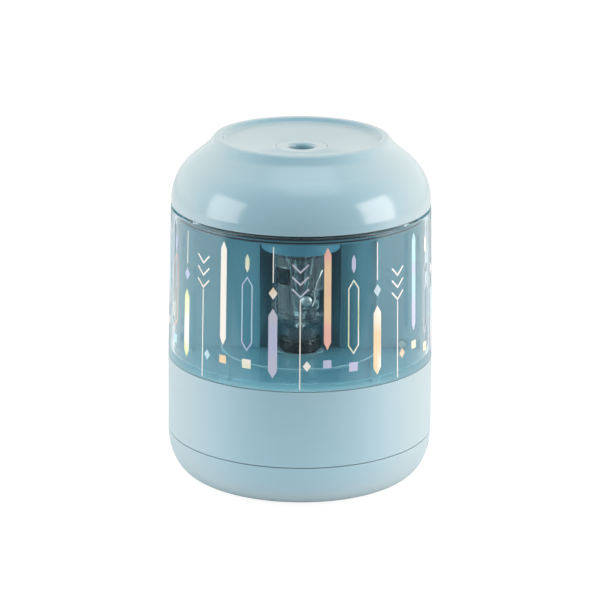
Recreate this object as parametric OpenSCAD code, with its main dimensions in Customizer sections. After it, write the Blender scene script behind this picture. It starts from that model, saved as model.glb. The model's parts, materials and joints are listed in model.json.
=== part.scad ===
// Battery desktop pencil sharpener, upright: a round base that holds the cells and gears, a pull-out
// half-round shavings drawer, a rear column with the motor, and a domed cap with the pencil hole.
// Millimetres. +Z up, -Y is the front, and the origin is the centre of the footprint.

/* [Body] */
// Greatest diameter of the base
body_d = 88; // [86:0.5:90]
// Height from the table to the crest of the cap's rim
body_h = 114.5; // [114:0.5:116]
// Height of the rubber feet below the bottom cover
foot_h = 0.6; // [0.4:0.1:1]
// Width and height of the rounded bottom edge
edge_w = 8.3; // [7.5:0.1:9]
edge_h = 14; // [13:0.5:14.4]
// Wall thickness of the housing shells
wall = 2.2; // [1.8:0.1:2.4]
// Top of the bottom cover, where the base ring starts
cover_top = 15.2; // [14.8:0.1:16]
// Top of the base ring and its deck
deck_top = 40.6; // [40.4:0.1:41]
// Top of the drawer and rear column, under the cap
column_top = 91.7; // [91:0.1:92]
// Outer radius at the top of the column and drawer
column_top_r = 42.75; // [42.5:0.05:43]

/* [Drawer] */
// Wall thickness of the clear drawer
drawer_wall = 2; // [1.6:0.1:2.2]
// Thickness of the drawer floor
drawer_floor_t = 1.6; // [1.4:0.1:1.8]
// Radius of the notch round the cutter hub
drawer_notch_r = 10; // [9.8:0.1:10.4]
// Gap under and over the drawer
drawer_gap = 0.25; // [0.2:0.05:0.4]

/* [Pencil path] */
// Radius of the pencil guide's bore
guide_r = 4.1; // [4:0.05:4.2]
// Radius of the guide's flange in the cap's dish
guide_flange_r = 8.4; // [8:0.1:9]

/* [Cutter head] */
// Radius of the helical cutter over its teeth
cutter_r = 3; // [2.9:0.05:3]
// Number of helical teeth
cutter_teeth = 12; // [10:1:14]
// Tilt of the cutter to the pencil's axis, in degrees
cutter_tilt = 10.5; // [10:0.25:11]
// Outer radius of the ring gear's collar
collar_r = 13.1; // [12.8:0.1:13.1]
// Outer radius of the clear carrier below the collar
carrier_r = 10; // [9.8:0.1:10.2]

/* [Batteries and motor] */
// Length of the motor can
motor_len = 30.5; // [28:0.5:31]
// Width of the battery door's opening
door_w = 54; // [53:0.5:55]
// Thickness of the battery door
door_t = 1.8; // [1.6:0.1:2]

/* [Hidden] */
$fn = 96;

// Gear teeth: the joints' ratios follow from these
ring_teeth = 35;
pinion_teeth = 8;
output_teeth = 44;
compound_teeth = [12, 36];
motor_teeth = 9;
gear_m = 0.6;

// Bought parts: diameter and length of an AA cell, diameter and thickness of the motor can
cell_size = [14.5, 50.5];
motor_size = [24.2, 18.3];
motor_y = 28;

body_r = body_d / 2;
cover_bottom = foot_h;
cover_inside = cover_bottom + wall;
deck_bottom = deck_top - 2;
plate_top = column_top - 0.3;
plate_bottom = plate_top - 2.6;
drawer_bottom = deck_top + drawer_gap;
drawer_top = column_top - 0.55;

// Outer radius of the tapered column and drawer at height z
function column_r(z) = body_r - 0.1
    - (body_r - 0.1 - column_top_r) * (z - deck_top) / (column_top - deck_top);

// Points on an elliptical arc about c, from angle a0 to a1 in n steps
function arc(c, rx, rz, a0, a1, n) =
    [for (i = [0:n]) let (a = a0 + (a1 - a0) * i / n) [c[0] + rx * cos(a), c[1] + rz * sin(a)]];

// ---- Gears -------------------------------------------------------------------------------------

// A point of the circle's involute: base radius b, at radius r, turned by t degrees
function involute_angle(b, r) = sqrt(max(r * r / (b * b) - 1, 0)) * 180 / PI - acos(min(b / r, 1));

// One tooth's outline: radii from root to tip, half the tooth's angle falling along an involute
function tooth_half(m, n, r, slack) = let (
        pitch = m * n / 2,
        base = pitch * cos(20),
        at_pitch = (90 - slack) / n + involute_angle(base, pitch))
    at_pitch - involute_angle(base, max(r, base));

// An external gear's outline, with slack degrees-of-a-tooth taken off each flank for backlash
function gear_points(m, n, slack, add = 0.85, ded = 1.25) = let (
        pitch = m * n / 2,
        radii = [for (k = [0:4]) pitch - ded * m + (add + ded) * m * k / 4])
    [for (t = [0:n - 1]) each concat(
        [for (k = [0:4]) let (a = 360 * t / n - tooth_half(m, n, radii[k], slack))
            [radii[k] * cos(a), radii[k] * sin(a)]],
        [for (k = [4:-1:0]) let (a = 360 * t / n + tooth_half(m, n, radii[k], slack))
            [radii[k] * cos(a), radii[k] * sin(a)]])];

module spur_gear(n, h, bore, slack = 14) {
    linear_extrude(h) difference() {
        polygon(gear_points(gear_m, n, slack));
        circle(r = bore);
    }
}

// ---- Swept wire --------------------------------------------------------------------------------

function unit(v) = v / norm(v);
// Direction of the path at point i
function along(p, i) = unit(p[min(i + 1, len(p) - 1)] - p[max(i - 1, 0)]);

// A round wire of radius r along the points p, with its rings squared to the axis "up"
module wire(p, r, up = [0, 0, 1], sides = 8) {
    n = len(p);
    points = [for (i = [0:n - 1]) let (t = along(p, i), u = unit(cross(t, up)), v = cross(u, t))
        for (k = [0:sides - 1]) p[i] + r * (cos(360 * k / sides) * u + sin(360 * k / sides) * v)];
    sides_faces = [for (i = [0:n - 2], k = [0:sides - 1])
        [i * sides + k, i * sides + (k + 1) % sides, (i + 1) * sides + (k + 1) % sides,
            (i + 1) * sides + k]];
    ends = [[for (k = [sides - 1:-1:0]) k], [for (k = [0:sides - 1]) (n - 1) * sides + k]];
    polyhedron(points, concat(sides_faces, ends), convexity = 4);
}

module tube(r_out, r_in, h) {
    difference() {
        cylinder(r = r_out, h = h);
        translate([0, 0, -1]) cylinder(r = r_in, h = h + 2);
    }
}

// A screw with a pan head whose top is at the origin, pointing up the +Z axis
module screw_up(head_r, head_h, shank_r, length) {
    difference() {
        union() {
            cylinder(r = head_r, h = head_h, $fn = 32);
            cylinder(r = shank_r, h = length, $fn = 24);
        }
        for (a = [0, 90]) rotate(a) translate([-head_r * 0.6, -0.3, -1]) cube([head_r * 1.2, 0.6, 1.6]);
    }
}

// ---- Base --------------------------------------------------------------------------------------

screw_at = [for (a = [20, 160, 200, 340]) [35.5 * cos(a), 35.5 * sin(a)]];
cover_screw_z = 6.2;
door_d = 30.8;
door_gap = 0.25;
// Round knuckle of the door's hinge, and the pins that it turns on
knuckle_r = door_t / 2 + 0.1;
hinge_y = door_d / 2 - door_gap - knuckle_r;
hinge_z = cover_bottom + knuckle_r + 0.05;
pin_r = 0.5;
pin_in = 2;

module cover_profile(inset, top) {
    z0 = cover_bottom + inset;
    polygon(concat([[0, z0]],
        arc([body_r - edge_w, cover_bottom + edge_h], edge_w - inset, edge_h - inset, -90, 0, 24),
        [[body_r - inset, top], [0, top]]));
}

module bottom_cover() {
    color("#a9c8d5") difference() {
        union() {
            difference() {
                rotate_extrude() cover_profile(0, cover_top);
                rotate_extrude() cover_profile(wall, cover_top + 1);
            }
            // locating lip inside the base ring
            translate([0, 0, cover_top - 2]) tube(body_r - wall - 0.1, body_r - wall - 1.3, 4);
            intersection() {
                for (p = screw_at) translate([p[0], p[1], cover_bottom]) cylinder(r = 3.4, h = 14.4);
                rotate_extrude() cover_profile(0.4, cover_top);
            }
        }
        translate([-door_w / 2, -door_d / 2, 0]) cube([door_w, door_d, 6]);
        translate([-door_w / 2 - pin_in, hinge_y, hinge_z]) rotate([0, 90, 0])
            cylinder(r = pin_r + 0.08, h = door_w + 2 * pin_in, $fn = 32);
        for (p = screw_at) translate([p[0], p[1], -1]) {
            cylinder(r = 2.9, h = cover_screw_z + 1);
            cylinder(r = 1.6, h = 20);
        }
        // sockets of the feet
        for (p = foot_at) translate([p[0], p[1], -1]) cylinder(r = foot_r + 0.05, h = 1 + foot_h + 0.8);
        // room for the finger that opens the door
        translate([0, -door_d / 2 - 0.7, cover_bottom - 3.2]) rotate([90, 0, 0]) sphere(r = 5, $fn = 48);
    }
}

foot_r = 4;
foot_at = [for (a = [50, 130, 230, 310]) [26.5 * cos(a), 26.5 * sin(a)]];

module rubber_feet() {
    color("#3b4046") for (p = foot_at) translate([p[0], p[1], 0]) {
        cylinder(r1 = foot_r - 0.5, r2 = foot_r - 0.1, h = foot_h);
        translate([0, 0, foot_h]) cylinder(r = foot_r - 0.1, h = 0.8);
    }
}

module cover_screws() {
    color("silver") for (p = screw_at) translate([p[0], p[1], cover_screw_z - 1.9])
        screw_up(2.7, 1.9, 1.5, 16);
}

module base_housing() {
    r_in = body_r - wall;
    color("#a9c8d5") difference() {
        union() {
            difference() {
                rotate_extrude() polygon([[0, cover_top + 0.25], [body_r, cover_top + 0.25],
                    [body_r - 0.1, deck_top], [0, deck_top]]);
                translate([0, 0, cover_top - 1]) cylinder(r = r_in, h = deck_bottom - cover_top + 1);
            }
            for (p = screw_at) translate([p[0], p[1], cover_bottom + 14.6])
                cylinder(r = 3.4, h = deck_bottom - cover_bottom - 14.5);
            // rails that guide the drawer
            for (x = [-rail_x, rail_x]) translate([x - 0.8, -31.5, deck_top - 0.5]) cube([1.6, 28.5, 1.2]);
        }
        translate([0, 0, deck_bottom - 1]) cylinder(r = bush_r, h = 5);
        translate([0, motor_y, deck_bottom - 1]) cylinder(r = 4, h = 5);
        translate([compound_at[0], compound_at[1], deck_bottom - 1]) cylinder(r = axle_r, h = 2.2);
        for (p = screw_at) translate([p[0], p[1], cover_bottom + 14]) cylinder(r = 1.5, h = 6);
        for (x = [-post_x, post_x]) translate([x, post_y, deck_bottom - 1]) cylinder(r = 1.6, h = 5);
    }
}

rail_x = 24;
axle_r = 1;

module battery_door() {
    w = door_w - 2 * door_gap;
    front = -door_d / 2 + door_gap;
    color("#a9c8d5") {
        difference() {
            union() {
                translate([-w / 2, front, cover_bottom]) cube([w, hinge_y - front, door_t]);
                translate([-w / 2, hinge_y, hinge_z]) rotate([0, 90, 0]) cylinder(r = knuckle_r, h = w);
            }
            // thumb recess at the latch
            translate([0, front - 0.2, cover_bottom - 3]) sphere(r = 4, $fn = 48);
            for (x = [-6, 6]) translate([x - 0.5, front - 1, 0]) cube([1, 6, 4]);
        }
        translate([-w / 2 - 1.6, hinge_y, hinge_z]) rotate([0, 90, 0])
            cylinder(r = pin_r, h = w + 3.2, $fn = 32);
        // ribs that hold the cells off the door
        for (y = [-9, 0, 9]) translate([-20, y - 0.5, cover_bottom + door_t - 0.3]) cube([40, 1, 0.6]);
    }
}

// ---- Cells -------------------------------------------------------------------------------------

box_in = [54, 30.6];
box_wall = 1.3;
cell_y = cell_size[0] / 2 + 0.25;
cell_z = [cover_inside + 0.2 + cell_size[0] / 2, cover_inside + 0.4 + 1.5 * cell_size[0]];
box_roof = cell_z[1] + cell_size[0] / 2 + 0.3;

module battery_box() {
    color("#e8ebea") difference() {
        translate([-box_in[0] / 2 - box_wall, -box_in[1] / 2 - box_wall, cover_inside + 0.2])
            cube([box_in[0] + 2 * box_wall, box_in[1] + 2 * box_wall, box_roof + 0.8 - cover_inside]);
        translate([-box_in[0] / 2, -box_in[1] / 2, 0]) cube([box_in[0], box_in[1], box_roof]);
        for (x = [-1, 1]) translate([x * 13 - 8, -4, box_roof - 1]) cube([16, 8, 4]);
    }
}

module battery_cells() {
    for (k = [0, 1], j = [0, 1]) {
        turn = (k + j) % 2 == 0 ? 0 : 180;
        translate([0, (2 * j - 1) * cell_y, cell_z[k]]) rotate([0, 90, turn])
            translate([0, 0, -cell_size[1] / 2]) color(j == k ? "#5a7d8c" : "#6b8c99") {
                cylinder(r = cell_size[0] / 2, h = cell_size[1] - 1.2);
                translate([0, 0, cell_size[1] - 1.2]) cylinder(r = 2.7, h = 1.2);
            }
    }
}

// A conical coil between z = 0 and h, from radius r0 to r1
function coil(r0, r1, h, turns, n) = [for (i = [0:n]) let (a = 360 * turns * i / n, r = r0 + (r1 - r0) * i / n)
    [r * cos(a), r * sin(a), h * i / n]];

module battery_contacts() {
    gap = box_in[0] / 2 - cell_size[1] / 2;
    color("#c9ccd0") for (k = [0, 1], j = [0, 1], s = [-1, 1]) {
        minus_end = s * ((k + j) % 2 == 0 ? 1 : -1) < 0;
        translate([s * box_in[0] / 2, (2 * j - 1) * cell_y, cell_z[k]]) rotate([0, -90 * s, 0]) {
            translate([-6, -6, 0]) cube([12, 12, 0.35]);
            if (minus_end) translate([0, 0, 0.75]) wire(coil(4.6, 2.6, gap - 1.2, 1.5, 24), 0.35, sides = 6);
            if (!minus_end) cylinder(r1 = 3.2, r2 = 2.2, h = gap - 0.1, $fn = 32);
        }
    }
}

// ---- Gear train --------------------------------------------------------------------------------

low_z = box_roof + 1.3;
gear_h = 2.1;
out_z = low_z + gear_h + 0.2;
out_pitch = gear_m * output_teeth / 2;
small_pitch = gear_m * compound_teeth[0] / 2;
big_pitch = gear_m * compound_teeth[1] / 2;
motor_pitch = gear_m * motor_teeth / 2;
to_out = out_pitch + small_pitch + 0.06;
to_motor = big_pitch + motor_pitch + 0.06;
compound_y = (to_out * to_out - to_motor * to_motor + motor_y * motor_y) / (2 * motor_y);
compound_at = [sqrt(to_out * to_out - compound_y * compound_y), compound_y];
spindle_r = 2.5;
bush_r = 4.6;

// Turn of gear b, in degrees, that puts a gap of b on the tooth of a, seen along the line at angle l
function mesh_turn(l, turn_a, na, nb) = l + 180 + 180 / nb + (l - turn_a) * na / nb;

line_out = atan2(compound_at[1], compound_at[0]);
line_motor = atan2(motor_y - compound_at[1], -compound_at[0]);
small_turn = mesh_turn(line_out, 0, output_teeth, compound_teeth[0]);
motor_turn = mesh_turn(line_motor, small_turn, compound_teeth[1], motor_teeth);

module deck_bush() {
    color("#8fb4bd") difference() {
        union() {
            translate([0, 0, deck_bottom]) cylinder(r = bush_r, h = 2.2);
            translate([0, 0, deck_top]) cylinder(r1 = 8, r2 = 7.6, h = 0.9);
        }
        translate([0, 0, deck_bottom - 1]) cylinder(r = spindle_r + 0.05, h = 6);
    }
}

module gear_axle() {
    color("silver") translate([compound_at[0], compound_at[1], low_z - 0.2])
        cylinder(r = axle_r, h = deck_bottom + 1.2 - low_z + 0.2);
}

module compound_gear() {
    color("#f1efe6") translate([compound_at[0], compound_at[1], low_z]) rotate(small_turn) {
        spur_gear(compound_teeth[1], gear_h, axle_r + 0.08);
        translate([0, 0, gear_h]) spur_gear(compound_teeth[0], gear_h + 0.4, axle_r + 0.08);
    }
}

module output_gear() {
    color("#f1efe6") translate([0, 0, out_z]) difference() {
        spur_gear(output_teeth, gear_h, spindle_r);
        for (a = [0:60:300]) rotate(a) translate([7.4, 0, -1]) cylinder(r = 2, h = gear_h + 2, $fn = 40);
    }
}

module spindle_clip() {
    color("#4a4f55") translate([0, 0, out_z - 0.9]) tube(4, spindle_r, 0.8);
}

module drive_spindle() {
    color("silver") translate([0, 0, out_z - 1.2]) cylinder(r = spindle_r, h = hub_top + 3 - out_z + 1.2);
}

motor_z = deck_top + 0.4;
shaft_r = 1;

module motor_can() {
    color("#b9bdc1") translate([0, motor_y, motor_z]) difference() {
        union() {
            intersection() {
                cylinder(r = motor_size[0] / 2, h = motor_len - 3);
                translate([-20, -motor_size[1] / 2, -1]) cube([40, motor_size[1], motor_len + 2]);
            }
            translate([0, 0, -1.6]) cylinder(r = 3, h = 2);
        }
        translate([0, 0, -5]) cylinder(r = shaft_r + 0.1, h = 60);
    }
}

module motor_end_cap() {
    color("#2f3338") translate([0, motor_y, motor_z + motor_len - 3]) difference() {
        union() {
            intersection() {
                cylinder(r = motor_size[0] / 2 - 0.4, h = 3);
                translate([-20, -motor_size[1] / 2 + 0.4, -1]) cube([40, motor_size[1] - 0.8, 6]);
            }
            cylinder(r = 2.8, h = 4.4);
            for (x = [-8, 8]) translate([x - 0.3, -1, 2]) cube([0.6, 2, 4]);
        }
        translate([0, 0, -1]) cylinder(r = shaft_r + 0.1, h = 4);
    }
}

module motor_shaft() {
    color("silver") translate([0, motor_y, low_z - 0.2])
        cylinder(r = shaft_r, h = motor_z + motor_len - low_z);
}

module motor_pinion() {
    color("#c8a85a") translate([0, motor_y, low_z]) rotate(motor_turn)
        spur_gear(motor_teeth, gear_h + 1, shaft_r);
}

module motor_clamp() {
    z = motor_z + 12;
    r = motor_size[0] / 2;
    color("#2f3338") translate([0, motor_y, z]) difference() {
        union() {
            intersection() {
                cylinder(r = r + 1.3, h = 6);
                translate([-20, -motor_size[1] / 2 - 1.3, 0]) cube([40, motor_size[1] + 2.6, 6]);
            }
            for (s = [-1, 1]) translate([s * 15.4 - 2.4, -motor_size[1] / 2 - 1.3, 0]) cube([4.8, 2.2, 6]);
        }
        intersection() {
            translate([0, 0, -1]) cylinder(r = r, h = 8);
            translate([-20, -motor_size[1] / 2, -2]) cube([40, motor_size[1], 10]);
        }
        for (s = [-1, 1]) translate([s * 15.6, 0, 3]) rotate([90, 0, 0]) cylinder(r = 0.9, h = 20, $fn = 24);
    }
}

// ---- Column ------------------------------------------------------------------------------------

niche_r = collar_r + 0.4;
panel_t = 1.8;
post_x = 27;
post_y = 20;
post_r = 3.4;

// The ring of a half shell between the deck and the cap, on the +Y side, d inside the outer surface
module column_solid(d, z0, z1) {
    rotate_extrude() polygon([[0, z0], [column_r(z0) - d, z0], [column_r(z1) - d, z1], [0, z1]]);
}

module rear_cover() {
    color("#a9c8d5") difference() {
        union() {
            difference() {
                column_solid(0, deck_top + 0.15, column_top - 0.15);
                column_solid(wall, deck_top - 1, column_top + 1);
            }
            for (x = [-post_x, post_x]) translate([x, post_y, deck_top])
                cylinder(r = post_r, h = plate_bottom - deck_top);
            intersection() {
                for (x = [-post_x - 11, post_x]) translate([x, post_y - 0.8, deck_top])
                    cube([11, 1.6, plate_bottom - deck_top]);
                column_solid(wall / 2, deck_top, plate_bottom);
            }
        }
        translate([-60, -120, 0]) cube([120, 120, 200]);
        for (x = [-post_x, post_x], z = [deck_top - 1, plate_bottom - 12])
            translate([x, post_y, z]) cylinder(r = 1.25, h = 13);
    }
}

module inner_panel() {
    z0 = deck_top;
    h = plate_bottom - deck_top;
    color("#7fa6b3") difference() {
        union() {
            intersection() {
                translate([-60, 0, z0]) cube([120, panel_t, h]);
                column_solid(wall + 0.15, deck_top, plate_bottom);
            }
            intersection() {
                translate([0, 0, z0]) cylinder(r = niche_r + 1.6, h = h);
                translate([-30, 0, z0]) cube([60, 30, h]);
            }
            for (x = [-rib_x, rib_x]) translate([x - 0.5, -0.7, z0 + 2.6]) cube([1, 1.5, h - 2.6]);
            for (s = [-1, 1]) translate([s * 17.7 - 1.5, 0.5, motor_z + 12]) cube([3, 17, 6]);
        }
        translate([0, 0, z0 - 1]) cylinder(r = niche_r, h = h + 2);
        for (s = [-1, 1]) translate([s * 17.2, 30, motor_z + 15]) rotate([90, 0, 0])
            cylinder(r = 0.75, h = 18, $fn = 24);
    }
}

rib_x = 25.5;

module column_screws() {
    color("silver") for (x = [-post_x, post_x]) {
        translate([x, post_y, deck_bottom - 1.6]) screw_up(2.8, 1.6, 1.2, 12);
        translate([x, post_y, plate_top - 1]) mirror([0, 0, 1]) translate([0, 0, -1.6])
            screw_up(2.8, 1.6, 1.2, 11);
    }
}

// ---- Top plate and lever -----------------------------------------------------------------------

plate_r = 40.3;
lever_y = 11.4;
lever_z = 99;
lever_pin_r = 0.9;
cap_post_r = 32;
cap_post_at = [for (a = [90, 210, 330]) [cap_post_r * cos(a), cap_post_r * sin(a)]];

module top_plate() {
    color("#8fb0bd") difference() {
        union() {
            translate([0, 0, plate_bottom]) cylinder(r = plate_r, h = plate_top - plate_bottom);
            // ears that carry the start lever's pin
            for (x = [-4.4, 2.8]) translate([x, lever_y - 2.2, plate_top - 0.5]) {
                cube([1.6, 4.4, lever_z - plate_top + 0.5]);
                translate([0, 2.2, lever_z - plate_top + 0.5]) rotate([0, 90, 0]) cylinder(r = 2.2, h = 1.6);
            }
            // bed of the start switch
            translate([-4, 19.4, plate_top - 0.5]) cube([8, 1.6, 9]);
        }
        translate([0, 0, plate_bottom - 1]) cylinder(r = 6.4, h = 5);
        translate([-6, lever_y, lever_z]) rotate([0, 90, 0]) cylinder(r = lever_pin_r, h = 12);
        for (p = cap_post_at) translate([p[0], p[1], plate_bottom - 1]) {
            cylinder(r = 1.6, h = 6);
            cylinder(r = 3, h = 2.2);
        }
        for (x = [-post_x, post_x]) translate([x, post_y, plate_bottom - 1]) {
            cylinder(r = 1.5, h = 6);
            translate([0, 0, 2.6]) cylinder(r = 3.1, h = 3);
        }
    }
}

// Half ring under the top plate that keeps dust off the drawer's rim
module dust_seal() {
    color("#26323a") intersection() {
        translate([0, 0, plate_bottom - 0.5]) tube(plate_r + 0.1, plate_r - 1.8, 0.5);
        translate([-plate_r - 2, -plate_r - 2, plate_bottom - 1])
            cube([2 * plate_r + 4, plate_r + 1.4, 2]);
    }
}

module neck_bush() {
    color("#d9d4c4") translate([0, 0, plate_bottom - 1.6]) difference() {
        cylinder(r = 6.4, h = 4.2);
        translate([0, 0, -1]) cylinder(r = neck_r + 0.06, h = 8);
    }
}

module start_lever() {
    color("#e8ebea") difference() {
        union() {
            translate([-2.5, lever_y, lever_z]) rotate([0, 90, 0]) cylinder(r = 2.1, h = 5);
            // arm down to the nose that the pencil pushes back
            translate([-2.5, lever_y - 1.8, 93.2]) cube([5, 2.4, lever_z - 93.2]);
            translate([-2.5, 5, 93.2]) cube([5, lever_y - 6, 2]);
            translate([-2.5, 5, 94.2]) rotate([0, 90, 0]) cylinder(r = 1, h = 5);
            // arm back to the switch
            translate([-2.5, lever_y, lever_z - 0.9]) cube([5, 6.4, 1.8]);
        }
        translate([-3, lever_y, lever_z]) rotate([0, 90, 0]) cylinder(r = lever_pin_r + 0.06, h = 6);
    }
}

module lever_pin() {
    color("silver") translate([-4.6, lever_y, lever_z]) rotate([0, 90, 0]) cylinder(r = lever_pin_r, h = 9.2);
}

module lever_spring() {
    turns = 3;
    color("silver") translate([4.7, lever_y, lever_z]) rotate([0, 90, 0])
        wire(concat([[2.2, -5, 0.3]], coil(1.5, 1.5, 2.2, turns, 36), [[3.2, 4.4, 2.5]]), 0.25,
            up = [0.02, 0.03, 1], sides = 6);
}

module start_switch() {
    z = plate_top + 9.9;
    color("#2f3338") {
        translate([-4, 15.6, z]) cube([8, 8.4, 3.6]);
        translate([-4, 19.4, plate_top + 8.5]) cube([8, 1.6, 1.5]);
    }
}

module ring_gear_collar() {
    ring_pitch = gear_m * ring_teeth / 2;
    h = plate_bottom - collar_bottom;
    color("#6d9aa6") difference() {
        translate([0, 0, collar_bottom]) cylinder(r = collar_r, h = h);
        translate([0, 0, collar_bottom - 1]) rotate(cutter_turn) linear_extrude(6)
            polygon(gear_points(gear_m, ring_teeth, -22, add = 1.2, ded = 0.85));
        translate([0, 0, collar_bottom + 5]) cylinder(r = ring_pitch + 1.1, h = h - 6.6);
        translate([0, 0, collar_bottom]) cylinder(r = 6.4, h = h + 1);
    }
}

collar_bottom = 77;
neck_r = 4.95;

// ---- Cap ---------------------------------------------------------------------------------------

cap_r = column_top_r - 0.15;
dome_c = [23, column_top + 1.7];
dome_rx = cap_r - dome_c[0];
dome_rz = 18.1;
dish_z = body_h - 3.6;
dish_rim = [25.3, body_h - 1.55];
crest_in = 26.2;
crest_out = 28.5;
flank_foot = [30.5, body_h - 3.1];

// A rounded corner at p: the arc of radius r that meets the lines from a and to b, in n steps
function fillet(a, p, b, r, n) = let (
        u = (a - p) / norm(a - p),
        v = (b - p) / norm(b - p),
        half = acos(u * v) / 2,
        centre = p + (u + v) / norm(u + v) * r / sin(half),
        start = p + u * r / tan(half) - centre,
        end = p + v * r / tan(half) - centre,
        turn = 180 - 2 * half)
    [for (i = [0:n]) let (t = i / n)
        centre + (sin((1 - t) * turn) * start + sin(t * turn) * end) / sin(turn)];

dome_end = arc(dome_c, dome_rx, dome_rz, 52, 53, 1)[0];
crest_a = [crest_out, body_h];
crest_b = [crest_in, body_h];
dish_in = [guide_flange_r + 0.06, dish_z];

// The cap's outer surface from its rim at the column, over the crest and down to the dish
function cap_outer() = concat(
    [[0, column_top], [cap_r, column_top]],
    arc(dome_c, dome_rx, dome_rz, 3, 52, 20),
    fillet(dome_end, flank_foot, crest_a, 5, 6),
    fillet(flank_foot, crest_a, crest_b, 1.7, 7),
    fillet(crest_a, crest_b, dish_rim, 0.75, 5),
    fillet(crest_b, dish_rim, dish_in, 1, 4),
    [dish_in, [0, dish_z]]);

function cap_inner() = concat(
    [[0, column_top - 1], [cap_r - wall, column_top - 1], [cap_r - wall, column_top]],
    arc(dome_c, dome_rx - wall, dome_rz - wall, 3, 66, 20),
    [[dish_rim[0], dish_rim[1] - 2.6], [dish_in[0] + 1.5, dish_z - 2.3], [0, dish_z - 2.3]]);

module cap() {
    color("#b3d1dc") difference() {
        rotate_extrude($fn = 128) polygon(cap_outer());
        difference() {
            rotate_extrude() polygon(cap_inner());
            for (p = cap_post_at) translate([p[0], p[1], plate_top]) cylinder(r = 3.2, h = 30);
        }
        translate([0, 0, dish_z - 1.4]) cylinder(r = guide_flange_r + 0.06, h = 10);
        translate([0, 0, dish_z - 5]) cylinder(r = 6.5, h = 10);
        for (p = cap_post_at) translate([p[0], p[1], plate_top - 1]) cylinder(r = 1.25, h = 9);
        translate([0, 0, column_top - 5]) cylinder(r = 45, h = 5);
    }
}

module cap_screws() {
    color("silver") for (p = cap_post_at) translate([p[0], p[1], plate_bottom - 0.4])
        screw_up(2.7, 1.6, 1.2, 9.5);
}

guide_bottom = 96.5;

module pencil_guide() {
    lip = 1.2;
    color("#b3d1dc") difference() {
        union() {
            translate([0, 0, dish_z - 1.4]) cylinder(r = guide_flange_r, h = 1.4);
            translate([0, 0, guide_bottom]) cylinder(r = 6.3, h = dish_z - guide_bottom);
        }
        translate([0, 0, guide_bottom - 1]) cylinder(r = guide_r, h = 30);
        rotate_extrude() difference() {
            translate([0, dish_z - lip]) square([guide_r + lip, 3]);
            translate([guide_r + lip, dish_z - lip]) circle(r = lip, $fn = 48);
        }
    }
}

module control_board() {
    translate([19, panel_t + 0.5, 68]) {
        color("#2e6b4a") cube([16, 1.4, 16]);
        color("#22262a") translate([2, 1.4, 4]) cube([5, 1.6, 4]);
        color("#22262a") translate([9, 1.4, 8]) cube([4, 5, 5]);
    }
}

// ---- Cutter head -------------------------------------------------------------------------------

hub_bottom = deck_top + 1.2;
hub_top = 45.5;
tongue = 6.6;
tongue_h = 4.3;
carrier_top = 76.6;
neck_top = plate_top - 0.5;
pinion_z = 79.1;
pinion_d = gear_m * (ring_teeth - pinion_teeth) / 2;
cutter_low = 54;
cutter_high = 75;
cutter_turn = 90;
sleeve_r = 1.6;

rib_at = [165, 215, 246, 301, 350, 15];

// Distance of the tilted cutter's axis from the spindle's axis at height z
function cutter_d(z) = pinion_d - (pinion_z - z) * tan(cutter_tilt);

// Places children on the cutter's own axis, with z = 0 where it crosses the pinion's height
module on_cutter_axis() {
    rotate(cutter_turn) translate([pinion_d, 0, pinion_z]) rotate([0, cutter_tilt, 0]) children();
}

module carrier_hub() {
    color("#2b2e32") difference() {
        union() {
            // square tongue that drives the carrier
            translate([-tongue / 2, -tongue / 2, hub_top - 1]) cube([tongue, tongue, tongue_h + 1]);
            translate([0, 0, hub_bottom]) cylinder(r = 6.4, h = hub_top - hub_bottom);
            translate([0, 0, hub_bottom + 1]) cylinder(r = 6.9, h = 1.6);
            for (a = [0:45:315]) rotate(a) translate([6, -0.5, hub_bottom]) cube([0.85, 1, hub_top - hub_bottom]);
        }
        translate([0, 0, hub_bottom - 1]) cylinder(r = spindle_r, h = 12);
    }
}

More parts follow.
